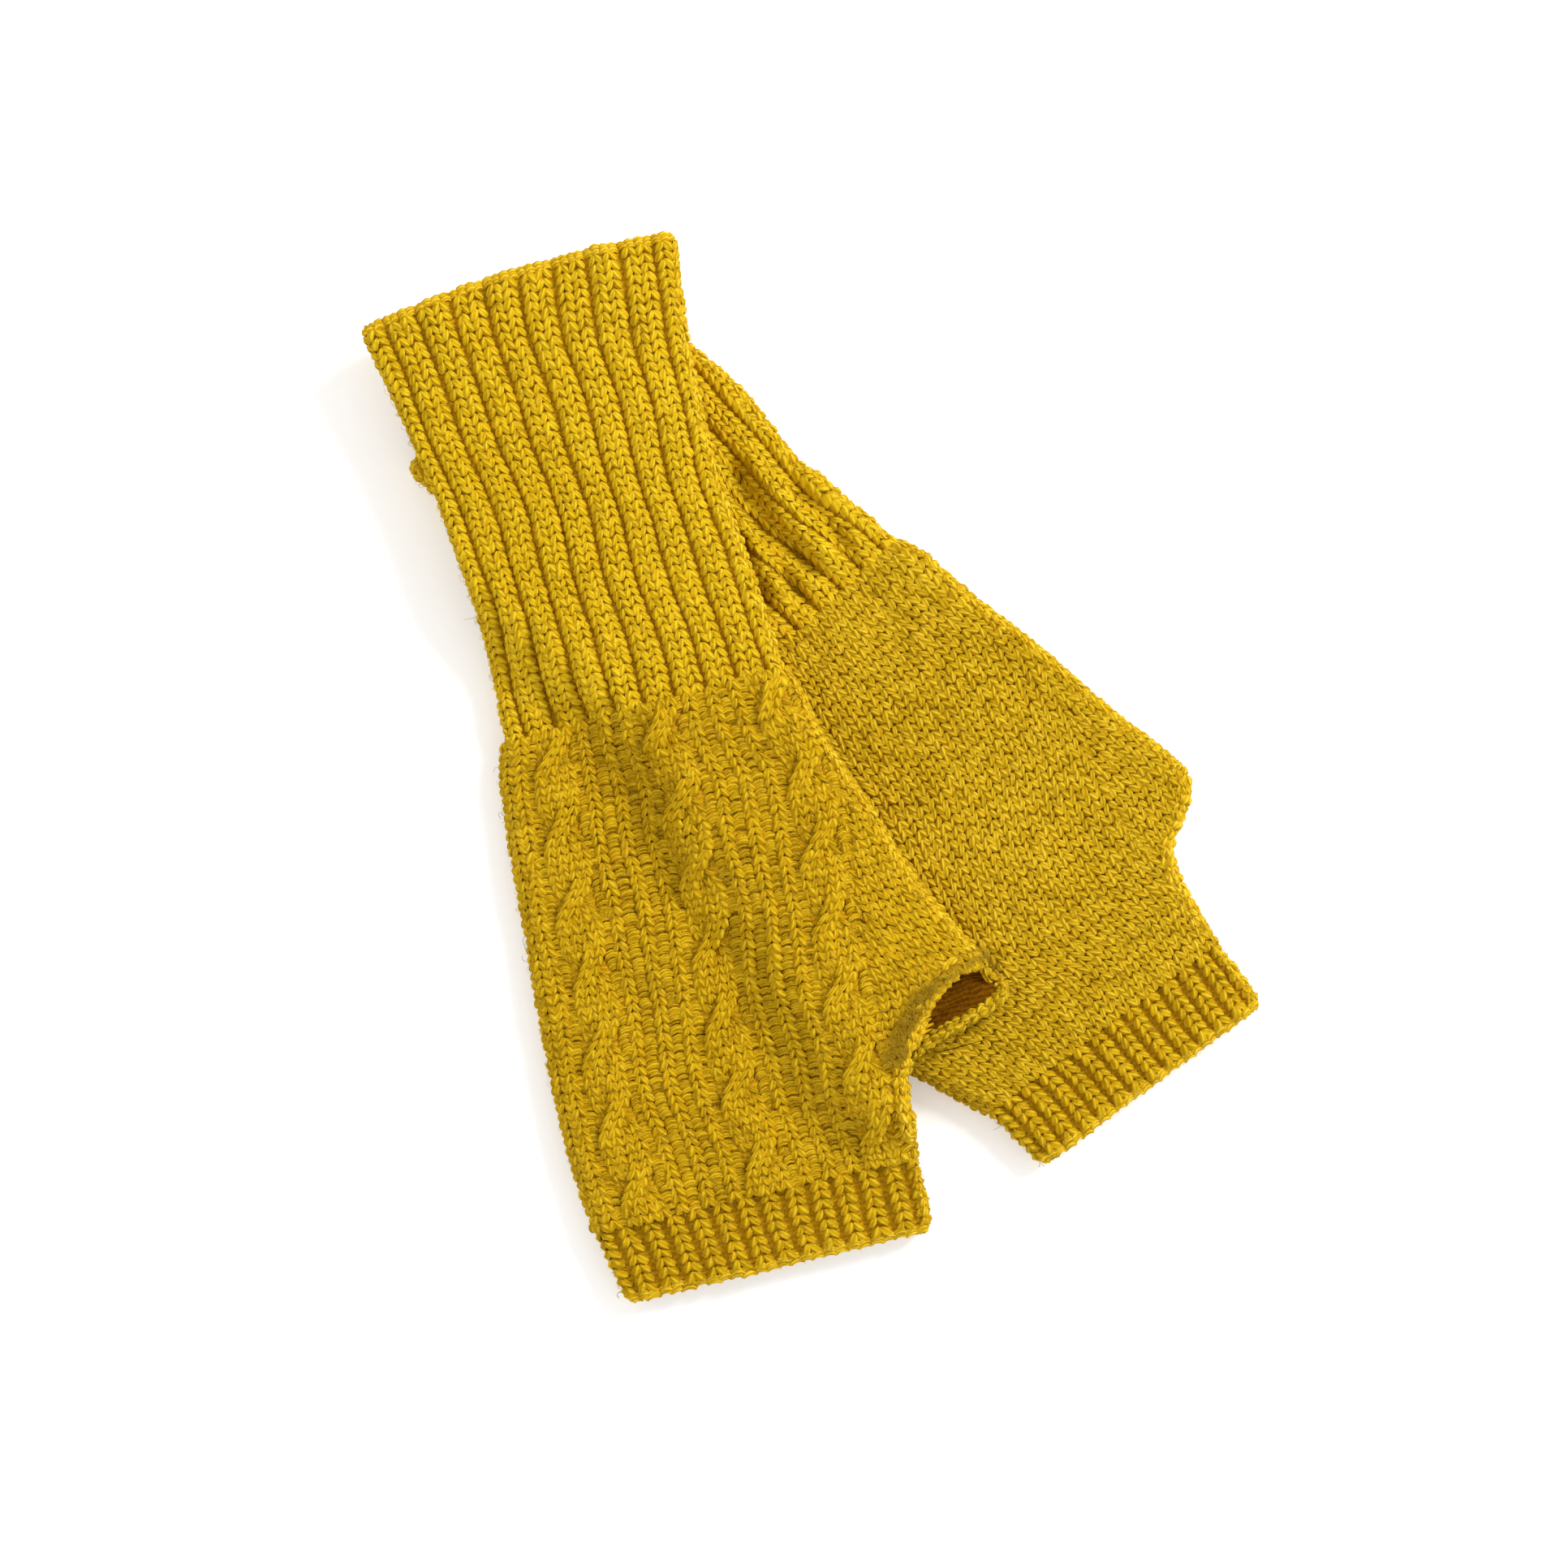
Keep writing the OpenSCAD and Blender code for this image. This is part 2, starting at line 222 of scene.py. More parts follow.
def layer(g, top, rim_up, rim_out, rim_wide=6):
    """Sample one layer, with its thumb rim lifted and moved out by the given mm, over rim_wide mm."""
    s = np.arange(-g["cuff"] - EDGE - 1, HAND + HEM + EDGE + 1.01, STEP)[:, None]
    q = np.linspace(0, 1, COLUMNS)[None, :]
    wf, ws = curve(g["fold"], s), curve(g["seam"], s)
    t = THICK + g["rise"] * ease((-s - g["cuff"] + 30) / 30)
    r = t / 2
    opened = np.minimum(ease((s - SLIT_AT + 2) / 5), ease((SLIT_AT + SLIT_LEN - s) / 6))
    arc, flat = math.pi / 2 * r, wf + ws - 2 * r
    width = flat + 2 * arc
    x = q * width
    fold_turn = np.clip(1 - x / arc, 0, 1) * math.pi / 2
    seam_turn = np.clip((x - arc - flat) / arc, 0, 1) * math.pi / 2
    u = np.clip(x - arc, 0, flat) + r - wf - r * np.sin(fold_turn) + r * np.sin(seam_turn)
    h = r * np.cos(fold_turn) * np.cos(seam_turn * (1 - opened)) + r
    # at the thumb the edges part: one lifts like a brow and the other curls up like a lip
    side = np.clip((x - arc - flat + rim_wide) / (arc + rim_wide), 0, 1)
    rim = opened * bump(s - MOUTH_AT, 9)
    h = h + rim * rim_up * ease(side) * (1 if top else -1)
    u = u + rim * rim_out * ease(side) ** 2
    a = heading(g, s)
    cx, cy = centre(g, s)
    bow = MOUTH_BOW * ease((-s - g["cuff"] + 40) / 40) * (1 - ((u - 4) / 42) ** 2) * (g is UPPER)
    px, py = cx - u * np.sin(a) - bow * np.cos(a), cy + u * np.cos(a) - bow * np.sin(a)
    lift = bed(g, px, py)
    up = 1 if top else -1
    pz = lift + (h if top else t - h)
    points = np.stack([px, py, pz], -1)
    along = np.gradient(points, axis=0)
    across = np.gradient(points, axis=1)
    normals = np.cross(along, across) * up
    normals /= np.linalg.norm(normals, axis=-1, keepdims=True) + 1e-9
    swell = waves(px, py, 1.0 if g is UPPER else 4.0) * (1 if top else 0.25)
    swell += 0.9 * bump(s - 7, 6) - 0.5 * bump(s + 2, 3)
    if g is UNDER and top:
        for start, end, depth, wide in WRIST_CREASES:
            d, along_share = plan_distance(px, py, start, end)
            fade = ease(along_share * 4) * ease((1 - along_share) * 5)
            swell += fade * (-depth * bump(d, wide) + 0.45 * depth * bump(d - 2.4 * wide, 1.6 * wide))
        start, end, depth, wide = WRIST_HOLLOW
        d, _ = plan_distance(px, py, start, end)
        swell -= depth * bump(d, wide)
    if g is UPPER and top:
        swell += 0.8 * bump(s - HAND + 3, 6) * np.sin(x * 0.11)
        swell += 0.9 * ease((-s - g["cuff"] + 16) / 16) * np.sin(x * 0.29 + 1)
    if not top:
        swell = np.minimum(swell, 0)
    points = points + normals * np.where(np.abs(normals[..., 2:]) < 0.5, 0.4, 1) * swell[..., None]
    return dict(glove=g, top=top, mouth=g is UPPER and top, s0=float(s[0, 0]), s=s[:, 0],
                width=width[:, 0], points=points, normals=normals)


def on_layer(lay, s, x, h):
    """World points in mm, at s along, x across from the fold, and h out from the surface."""
    rows, columns = lay["points"].shape[:2]
    width = np.interp(s, lay["s"], lay["width"])
    inside = ease(x / 8) * ease((width - x) / 8)
    x = x + 0.5 * inside * (np.sin(s / 9.7 + x / 23) + 0.7 * np.sin(s / 5.3 - x / 11 + 2))
    i = np.clip((s - lay["s0"]) / STEP, 0, rows - 1.001)
    j = np.clip(x / width * (columns - 1), 0, columns - 1.001)
    i0, j0 = i.astype(int), j.astype(int)
    fi, fj = (i - i0)[..., None], (j - j0)[..., None]
    out = []
    for grid in (lay["points"], lay["normals"]):
        out.append((grid[i0, j0] * (1 - fi) + grid[i0 + 1, j0] * fi) * (1 - fj)
                   + (grid[i0, j0 + 1] * (1 - fi) + grid[i0 + 1, j0 + 1] * fi) * fj)
    if not lay["top"]:
        # the layer underneath is pressed flat by what it lies on
        pressed = np.clip(-out[1][..., 2], 0, 1) ** 2
        h = h * (1 - PRESS * pressed) - PRESS_UP * pressed
    return out[0] + out[1] * h[..., None]


LAYERS = {
    "upper_back": layer(UPPER, True, 3.0, 0, 20), "upper_palm": layer(UPPER, False, 6.0, 5.0),
    "under_palm": layer(UNDER, True, 0.6, -0.6), "under_back": layer(UNDER, False, 0.6, 0.0)}
print("layers:", {k: v["points"].shape[:2] for k, v in LAYERS.items()})

# %% [markdown]
# ## Wool yarn
# The yarn is a soft 2-ply wool in mustard. Wool is matt, with a fine halo of fibres, so the shader is rough
# and has sheen. The two plies wind round each other once in 6.5 mm of yarn, which shows as slanting grooves
# on every stitch, as a bump and as painted shade in the grooves. Each stitch also takes its own shade from
# a noise, as dyed wool does.
# Colours are written as sRGB hex values, and one function turns them to the linear values that
# Blender wants.

# %% Material helpers
def linear(hex_colour):
    values = [int(hex_colour[i:i + 2], 16) / 255 for i in (0, 2, 4)]
    return [v / 12.92 if v <= 0.04045 else ((v + 0.055) / 1.055) ** 2.4 for v in values] + [1]


def add_node(tree, kind, settings=None, **inputs):
    """Add a node, set its options, and set or link its inputs."""
    node = tree.nodes.new(kind)
    for name, value in (settings or {}).items():
        setattr(node, name, value)
    for name, value in inputs.items():
        key = int(name[1:]) if name[0] == "i" and name[1:].isdigit() else name.replace("_", " ")
        if isinstance(value, bpy.types.NodeSocket):
            tree.links.new(value, node.inputs[key])
        else:
            node.inputs[key].default_value = value
    return node


def set_ramp(node, *stops):
    ramp = node.color_ramp
    while len(ramp.elements) < len(stops):
        ramp.elements.new(0.5)
    for element, (place, hex_colour) in zip(ramp.elements, stops):
        element.position = place
        element.color = linear(hex_colour)


PLY_PITCH = 6.5  # mm of yarn for one full turn of the plies
PLY_RIDGES = 4.0  # ridges round the yarn, two for each ply


def wool(name, dark, middle, light, groove_shade=0.55):
    """Dyed 2-ply wool: slanting plies on the stitch with painted shade in their grooves, fine fibres, and a
    slow change of shade.
    """
    material = bpy.data.materials.new(name)
    material.use_nodes = True
    tree = material.node_tree
    tree.nodes.clear()
    yarn = add_node(tree, "ShaderNodeUVMap", {"uv_map": "Yarn"})
    split = add_node(tree, "ShaderNodeSeparateXYZ", Vector=yarn.outputs[0])
    turns = add_node(tree, "ShaderNodeMath", {"operation": "MULTIPLY"}, i0=split.outputs[0],
                     i1=PLY_RIDGES)
    phase = add_node(tree, "ShaderNodeMath", {"operation": "MULTIPLY_ADD"},
                     i0=split.outputs[1], i1=1 / PLY_PITCH, i2=turns.outputs[0])
    wave = add_node(tree, "ShaderNodeMath", {"operation": "MULTIPLY"}, i0=phase.outputs[0], i1=2 * math.pi)
    ply = add_node(tree, "ShaderNodeMath", {"operation": "SINE"}, i0=wave.outputs[0])
    ply_height = add_node(tree, "ShaderNodeMapRange", Value=ply.outputs[0], From_Min=-1.0, From_Max=1.0)
    place = add_node(tree, "ShaderNodeTexCoord")
    fibres = add_node(tree, "ShaderNodeTexNoise", Vector=place.outputs["Object"], Scale=1400.0,
                      Detail=3.0, Roughness=0.7)
    shade = add_node(tree, "ShaderNodeTexNoise", Vector=place.outputs["Object"], Scale=330.0, Detail=2.0)
    slow = add_node(tree, "ShaderNodeTexNoise", Vector=place.outputs["Object"], Scale=28.0, Detail=2.0)
    # painted shade: the colour darkens in the grooves between the plies
    mixed = add_node(tree, "ShaderNodeMath", {"operation": "MULTIPLY_ADD"},
                     i0=ply_height.outputs[0], i1=groove_shade, i2=shade.outputs[0])
    mixed2 = add_node(tree, "ShaderNodeMath", {"operation": "MULTIPLY_ADD"},
                      i0=fibres.outputs[0], i1=0.5, i2=mixed.outputs[0])
    mixed3 = add_node(tree, "ShaderNodeMath", {"operation": "MULTIPLY_ADD"},
                      i0=slow.outputs[0], i1=0.35, i2=mixed2.outputs[0])
    scaled = add_node(tree, "ShaderNodeMapRange", Value=mixed3.outputs[0], From_Min=0.55, From_Max=1.65)
    ramp = add_node(tree, "ShaderNodeValToRGB", Fac=scaled.outputs[0])
    set_ramp(ramp, (0.0, dark), (0.5, middle), (1.0, light))
    height = add_node(tree, "ShaderNodeMath", {"operation": "MULTIPLY_ADD"},
                      i0=fibres.outputs[0], i1=0.5, i2=ply_height.outputs[0])
    bumps = add_node(tree, "ShaderNodeBump", Strength=0.55, Distance=0.0004, Height=height.outputs[0])
    shader = add_node(tree, "ShaderNodeBsdfPrincipled", Base_Color=ramp.outputs[0],
                      Normal=bumps.outputs[0], Roughness=0.85)
    shader.inputs["Specular IOR Level"].default_value = 0.08
    shader.inputs["Sheen Weight"].default_value = 0.06
    shader.inputs["Sheen Roughness"].default_value = 0.5
    shader.inputs["Sheen Tint"].default_value = linear("F4CC30")
    add_node(tree, "ShaderNodeOutputMaterial", Surface=shader.outputs[0])
    return material


def ground_wool(name, dark, light):
    """The inside of the knit between the stitches: rows of purl bumps, deep in shade, with painted shade
    between the rows.
    """
    material = bpy.data.materials.new(name)
    material.use_nodes = True
    tree = material.node_tree
    tree.nodes.clear()
    place = add_node(tree, "ShaderNodeTexCoord")
    cloth = add_node(tree, "ShaderNodeUVMap", {"uv_map": "Cloth"})
    rows = add_node(tree, "ShaderNodeTexWave", {"wave_type": "BANDS", "bands_direction": "Y"},
                    Vector=cloth.outputs[0], Scale=2.2, Distortion=3.5, Detail=2.0)
    rows.inputs["Detail Scale"].default_value = 3.0
    noise = add_node(tree, "ShaderNodeTexNoise", Vector=place.outputs["Object"], Scale=900.0, Detail=3.0)
    # painted shade: the colour darkens between the rows of purl bumps
    mixed = add_node(tree, "ShaderNodeMath", {"operation": "MULTIPLY_ADD"},
                     i0=rows.outputs[1], i1=0.5, i2=noise.outputs[0])
    scaled = add_node(tree, "ShaderNodeMapRange", Value=mixed.outputs[0], From_Min=0.3, From_Max=1.2)
    ramp = add_node(tree, "ShaderNodeValToRGB", Fac=scaled.outputs[0])
    set_ramp(ramp, (0.0, dark), (1.0, light))
    bumps = add_node(tree, "ShaderNodeBump", Strength=0.8, Distance=0.0006, Height=mixed.outputs[0])
    shader = add_node(tree, "ShaderNodeBsdfPrincipled", Base_Color=ramp.outputs[0],
                      Normal=bumps.outputs[0], Roughness=0.95)
    shader.inputs["Specular IOR Level"].default_value = 0.05
    add_node(tree, "ShaderNodeOutputMaterial", Surface=shader.outputs[0])
    return material


# %% [markdown]
# ## One leg of a stitch
# A knit stitch shows as two slanting legs. One leg is a short length of yarn that comes up from
# behind the row before, swells over, and dives behind the next row. It starts as a cone primitive
# with five sides, and an edge subdivision gives it rings to bend. Five sides and four spans are enough,
# because thousands of copies are made.

# %% The leg template
SPANS = 4


def leg_template(sides):
    """A unit leg along Z: its points' shares t along and angles round, its faces, and a mirror order."""
    bm = bmesh.new()
    bmesh.ops.create_cone(bm, cap_ends=True, segments=sides, radius1=1, radius2=1, depth=1)
    upright = [e for e in bm.edges if abs(e.verts[0].co.z - e.verts[1].co.z) > 0.5]
    bmesh.ops.subdivide_edges(bm, edges=upright, cuts=SPANS - 1, use_grid_fill=True)
    bmesh.ops.recalc_face_normals(bm, faces=bm.faces)
    bm.verts.index_update()
    co = np.array([v.co for v in bm.verts])
    faces = [[v.index for v in f.verts] for f in bm.faces]
    bm.free()
    fan = np.array([(f[0], f[i], f[i + 1]) for f in faces for i in range(1, len(f) - 1)])
    mirror = [int(np.argmin(np.linalg.norm(co - point * (-1, 1, 1), axis=1))) for point in co]
    return SimpleNamespace(t=co[:, 2] + 0.5, turn=np.arctan2(co[:, 1], co[:, 0]), faces=faces,
                           fan=fan, mirror=mirror)


LEG, FIBRE = leg_template(5), leg_template(3)
print("a leg has", len(LEG.t), "points and", len(LEG.faces), "faces")


def leg_shape(points, radius, form=LEG, squash=0.8):
    """Bend a template along a path of (along, across, out) rows: the middle line and the wrap round it."""
    path = np.array(points, float)
    rows = np.linspace(0, 1, len(path))
    mid = np.stack([np.interp(form.t, rows, path[:, k]) for k in range(3)], -1)
    tangent = np.gradient(path, axis=0)
    tangent = np.stack([np.interp(form.t, rows, tangent[:, k]) for k in range(3)], -1)
    tangent /= np.linalg.norm(tangent, axis=1, keepdims=True)
    side = np.cross([0, 0, 1], tangent)
    side /= np.linalg.norm(side, axis=1, keepdims=True)
    out = np.cross(tangent, side)
    r = np.interp(form.t, rows, radius)[:, None]
    return mid, r * (np.cos(form.turn)[:, None] * side + squash * np.sin(form.turn)[:, None] * out)


# %% [markdown]
# ## Laying stitches
# A yarn piece collects legs and becomes one mesh at the end. Each leg's points are looked up on the
# layer's surface, so a stitch leans, spreads and bends with the cloth. The mesh gets two UV maps:
# "Yarn" runs round and along the yarn for the plies, and "OFBake" gives each leg its own cell of a
# square, so that no two legs share a spot in a baked picture.

# %% The yarn piece
LEG_YARN = 4.0  # mm of yarn in one leg


class YarnPiece:
    def __init__(self, name, form=LEG):
        self.name, self.form = name, form
        self.blocks = []

    def add(self, points):
        """points: (legs, template points, 3) in mm."""
        self.blocks.append(points)

    def build(self, material):
        faces, t, turn = self.form.faces, self.form.t, self.form.turn / (2 * math.pi)
        points = np.concatenate(self.blocks)
        legs, per = points.shape[:2]
        # a leg whose faces would point inwards is turned over by swapping its points across a mirror
        a, b, c = (points[:, corner] - points[:, :1] for corner in self.form.fan.T)
        inward = np.einsum("lfk,lfk->l", a, np.cross(b, c)) < 0
        points[inward] = points[inward][:, self.form.mirror]
        sizes = np.array([len(f) for f in faces])
        corners = np.concatenate([np.array(f) for f in faces])
        mesh = bpy.data.meshes.new(self.name)
        mesh.vertices.add(legs * per)
        mesh.vertices.foreach_set("co", (points.reshape(-1, 3) * MM).astype(np.float32).ravel())
        offsets = np.arange(legs)[:, None]
        loops = (corners[None, :] + offsets * per).ravel()
        starts = (np.concatenate([[0], np.cumsum(sizes)[:-1]])[None, :] + offsets * len(corners)).ravel()
        mesh.loops.add(len(loops))
        mesh.loops.foreach_set("vertex_index", loops.astype(np.int32))
        mesh.polygons.add(len(starts))
        mesh.polygons.foreach_set("loop_start", starts.astype(np.int32))
        mesh.update(calc_edges=True)
        mesh.validate()
        mesh.polygons.foreach_set("use_smooth", np.ones(len(mesh.polygons), bool))
        # round and along each leg, with the wrap kept whole on the last side
        round_, along = np.empty(len(corners)), t[corners]
        at = 0
        for face in faces:
            a = turn[face]
            round_[at:at + len(face)] = np.where(a < a.max() - 0.5, a + 1, a) if len(face) == 4 else a
            at += len(face)
        ends = np.repeat(np.array([len(f) != 4 for f in faces]), sizes)
        shift = rng.random(legs) * PLY_PITCH
        yarn_uv = np.stack([np.broadcast_to(round_, (legs, len(corners))),
                            LEG_YARN * along[None, :] + shift[:, None]], -1)
        mesh.uv_layers.new(name="Yarn").data.foreach_set("uv", yarn_uv.astype(np.float32).ravel())
        # in a leg's bake cell the wrap fills the middle and the two ends lie above and below it
        cells = math.ceil(math.sqrt(legs))
        cap_u = 0.5 + 0.04 * np.cos(2 * math.pi * turn[corners])
        cap_v = np.where(along > 0.5, 0.94, 0.06) + 0.03 * np.sin(2 * math.pi * turn[corners])
        cell_u = np.where(ends, cap_u, 0.08 + 0.84 * (round_ + 0.5) / 1.17)
        cell_v = np.where(ends, cap_v, 0.14 + 0.72 * along)
        row, column = np.divmod(np.arange(legs), cells)
        bake_uv = np.stack([(column[:, None] + cell_u) / cells, (row[:, None] + cell_v) / cells], -1)
        mesh.uv_layers.new(name="OFBake").data.foreach_set("uv", bake_uv.astype(np.float32).ravel())
        piece = bpy.data.objects.new(self.name, mesh)
        bpy.context.scene.collection.objects.link(piece)
        mesh.materials.append(material)
        print(self.name, legs, "legs,", len(self.form.fan) * legs, "triangles")
        return piece


# %% [markdown]
# ## Stitch shapes
# Widths are shares of the wale, the upright column of stitches, and lengths are in millimetres. The
# knit leg leans out towards the fingers, so a column reads as a chain of arrow heads that point at
# the cuff. A purl stitch shows its loop as a bar across the column instead.

# %% Stitch templates
COURSE = 2.32  # mm from one row of stitches to the next
WALE = 3.1  # mm, the width of a wale that the shapes are drawn for
# each path is rows of (mm along, share of a wale across, mm out), with the yarn's radius in mm at each
KNIT_PATH = [
    (-1.35, 0.04, -0.8), (-0.75, 0.12, 0.15), (0.1, 0.25, 0.5), (0.95, 0.39, 0.3), (1.5, 0.46, -0.7)]
KNIT_RADIUS = [0.45, 0.84, 0.98, 0.86, 0.45]
PURL_PATH = [
    (0.5, -0.62, -0.6), (-0.35, -0.32, 0.1), (-0.55, 0.0, 0.3), (-0.35, 0.32, 0.1), (0.5, 0.62, -0.6)]
PURL_RADIUS = [0.5, 0.85, 0.9, 0.85, 0.5]


def lay_legs(piece, lay, wale, path, radius, s_at, sides=(1, -1), thick=1.0, out=0.0, unruly=1.0, form=LEG):
    """Lay one leg per side for each place in s_at along a wale.

    wale is (x, width, height) as functions of s, and of s and x for the height, all in mm. Legs past
    the thumb mouth are left out.
    """
    x_of, width_of, height_of = wale
    for side in sides:
        middle, wrap = leg_shape([(a, side * b * WALE, c) for a, b, c in path],
                                 np.array(radius) * thick, form)
        jitter = rng.normal(0, 0.13 * unruly, (len(s_at), 3))
        plump = rng.normal(1, 0.09 * unruly, (len(s_at), 1, 1))
        shape = middle + wrap * plump
        s = s_at[:, None] + shape[..., 0] + jitter[:, :1]
        x = x_of(s) + middle[None, :, 1] * width_of(s) / WALE + wrap[:, 1] * plump[..., 0] + jitter[:, 1:2]
        h = shape[..., 2] + height_of(s, x) + jitter[:, 2:3] + out
        edge = np.interp(s, lay["s"], lay["width"])
        points = on_layer(lay, s, np.clip(x, 0, edge), h)
        a = heading(lay["glove"], s)
        over = np.maximum(x - edge, 0) + np.minimum(x, 0)
        points[..., 0] -= over * np.sin(a)
        points[..., 1] += over * np.cos(a)
        if lay["mouth"]:
            points = points[x.mean(axis=1) < mouth_at(lay, s.mean(axis=1))]
        piece.add(points)


def rows_between(start, end):
    count = int((end - start) / COURSE)
    return start + (np.arange(count) + 0.5) * (end - start) / count

# %% [markdown]
# ## Knitting patterns
# A pattern says where its wales are and how high the cloth stands there. Ribs turn up and down across
# the cloth, because knit wales push forward and purl wales fall back. The cable panel has three
# cables of four wales. In a cable two wales cross over the other two every eight rows, which the
# knitter does with a spare needle. Beside the thumb the panel widens with extra plain wales.

# %% Ribs
CUFF_RIBS, HEM_RIBS = 10, 14
CUFF_CREST, CUFF_DEPTH = 0.38, 1.7  # share of a rib that stays high, and depth of the valley in mm
HEM_CREST, HEM_DEPTH = 0.3, 1.4
CUFF_WALE, HEM_WALE = 0.44, 0.76  # width of a wale, as a share of its rib


def rib_relief(lay, ribs, share, depth):
    """Height across a rib: flat for a share of the rib, then down into the purl valley."""
    def height(s, x):
        width = np.interp(s, lay["s"], lay["width"])
        phase = np.abs((x / width * ribs) % 1 - 0.5) * 2
        return -0.25 - depth * ease((phase - share) / (1 - share))
    return height


def rib_wales(lay, ribs, columns, share, height):
    """Wales of a rib pattern: columns per rib, each a share of the rib wide."""
    wales = []
    for rib in range(ribs):
        for column in range(columns):
            place = (rib + 0.5 + (column - (columns - 1) / 2) * share) / ribs

            def x_of(s, place=place):
                return place * np.interp(s, lay["s"], lay["width"])

            def width_of(s):
                return share * np.interp(s, lay["s"], lay["width"]) / ribs
            wales.append((x_of, width_of, height))
    return wales

# %% The cable panel
ZONE = 88.5  # mm across the surface, from the fold to the end of the third cable, at mid hand
KNIT_AT = [1.5, 4.6, 7.7, 26.0, 33.3, 40.0, 58.8, 65.5, 72.0]
PURL_AT = [10.0, 23.6, 29.7, 36.7, 42.4, 56.2, 62.1, 68.8, 74.3, 87.6]
CABLE_AT = [16.8, 49.3, 81.0]
CABLE_WALE, KNIT_WIDE, PURL_WIDE = 2.95, 3.7, 3.2  # mm, the widths of the panel's wales
FIRST_CROSSING, CROSSING = 7.0, 18.9  # mm from the wrist, and from one crossing to the next
CROSSINGS = FIRST_CROSSING + CROSSING * np.arange(7)
CROSS_HALF = 5.0  # mm, half the length over which two pairs change places


def zone_of(lay, s):
    return np.minimum(ZONE, np.interp(s, lay["s"], lay["width"]) - 3.0)


def panel_relief(lay):
    """Ropes and cables stand up, purl gutters fall back, and the gusset is level."""
    ups = {x: 0.15 for x in KNIT_AT}
    ups.update({x: -0.75 for x in PURL_AT})
    for c in CABLE_AT:
        ups.update({c + k * CABLE_WALE: 0.35 for k in (-1.5, 0, 1.5)})
    at = np.array(sorted(ups))
    high = np.array([ups[x] for x in at])

    def height(s, x):
        zone = zone_of(lay, s)
        ref = x / zone * ZONE
        lobes = sum(bump(ref - c, 4.6) for c in CABLE_AT) * (0.95 - 0.95 * pull(s))
        return np.where(ref < ZONE + 1, np.interp(ref, at, high) + lobes, -0.15)
    return height


def pull(s):
    """1 at a crossing, where the cable draws in, and 0 halfway between two."""
    return 0.5 + 0.5 * np.cos((s - FIRST_CROSSING) * 2 * math.pi / CROSSING)


def cable_wales(lay, middle, height):
    """Four wales in two pairs that change places at each crossing, one pair over the other."""
    wales = []
    for wale in range(4):
        first, place = (1 if wale < 2 else -1), (wale % 2) - 0.5

        def swap(s, first=first):
            side = np.full_like(s, first, dtype=float)
            for i, at in enumerate(CROSSINGS):
                side += -2 * first * (-1) ** i * ease((s - at + CROSS_HALF) / (2 * CROSS_HALF))
            return side

        def x_of(s, place=place, swap=swap):
            scale = zone_of(lay, s) / ZONE
            return (middle + (swap(s) + place) * CABLE_WALE * (1 - 0.16 * pull(s))) * scale

        def height_of(s, x, first=first):
            lift = np.zeros_like(s)
            for i, at in enumerate(CROSSINGS):
                over = 1 if first * (-1) ** i > 0 else -1
                lift += (1.35 if over > 0 else -0.9) * bump(s - at, CROSS_HALF)
            return lift + height(s, x)
        wales.append((x_of, lambda s: np.full_like(s, CABLE_WALE * 0.98), height_of))
    return wales


def gusset_wales(lay, zone, height, pitch=3.05, most=12):
    """Plain wales that follow the seam up to the thumb mouth, and again below it."""
    def edge_of(s):
        width = np.interp(s, lay["s"], lay["width"])
        tip = np.interp(SLIT_AT - 3, lay["s"], lay["width"])
        return np.where((s > SLIT_AT - 3) & (s < MOUTH_END), tip, width)

    wales = []
    for k in range(most):
        def x_of(s, k=k):
            return edge_of(s) - (k + 0.5) * pitch

        def shown(s, x_of=x_of):
            x, width = x_of(s), np.interp(s + 1, lay["s"], lay["width"])
            return (x > zone(s) - 0.2 * pitch) & (x < width - 1) & (np.abs(s - MOUTH_END) > 1.6)
        wales.append(((x_of, lambda s: np.full_like(s, pitch), height), shown))
    return wales

# %% [markdown]
# ## The wools
# All are the same yarn, so their shades stay close, and the differences between them are painted light and
# shade. The ribs catch more light and are painted brighter than the cables, whose gutters shade them, and
# the edges are painted brighter still. Only the inside of the gloves is dark, with painted shade, because
# little light gets there. Loose fibres catch the most light and are painted nearly straw coloured, a
# painted highlight.

# %% Materials
# painted light and shade: the same yarn, painted brighter for the ribs and edges and darker for the cables,
# hems and plain knit
RIB_WOOL_PAINTED_LIGHT = wool("mustard 2-ply wool with painted light, ribs", "B08504", "D2AA0C", "EBC72A")
CABLE_WOOL_PAINTED_SHADE = wool("mustard 2-ply wool with painted shade, cables", "9C7401", "C49A08", "E2BC22")
PLAIN_WOOL_PAINTED_SHADE = wool("mustard 2-ply wool with painted shade, plain knit", "987002", "BC950A", "E4C02C")
EDGE_WOOL_PAINTED_LIGHT = wool("mustard 2-ply wool with painted light, edges", "A87C04", "D4A80F", "F2CE34")
GROUND_WOOL = ground_wool("mustard wool, between the stitches", "B4850A", "E0AE1A")
# painted shade: a darker wool for the inside of the glove, where little light gets
INSIDE_PAINTED_SHADE_WOOL = ground_wool("mustard wool with painted shade, inside the glove", "5E3402", "8E5A05")
# painted highlight: the loose fibres are a brighter copy of the yarn
FIBRE_WOOL_PAINTED_HIGHLIGHT = wool("painted highlight, loose wool fibre", "D0A41C", "E6BE34", "F6D65C", groove_shade=0.0)

# %% [markdown]
# ## The ground of the cloth
# Behind the stitches lies the back of the knit. It closes the gaps, so no light shines through, and it is
# what shows inside the cuff and the thumb slit. It is a grid primitive laid on the layer, with the
# pattern's relief, and its faces past the thumb mouth are deleted. A Solidify modifier gives it the
# thickness of the yarn behind, and its inner side a darker wool, which is painted shade for the inside of
# the glove.

# %% Ground
GRID_MM, SINK, GROUND_WALL = 1.25, 0.35, 1.2  # mm: a grid square, the depth below, and the thickness


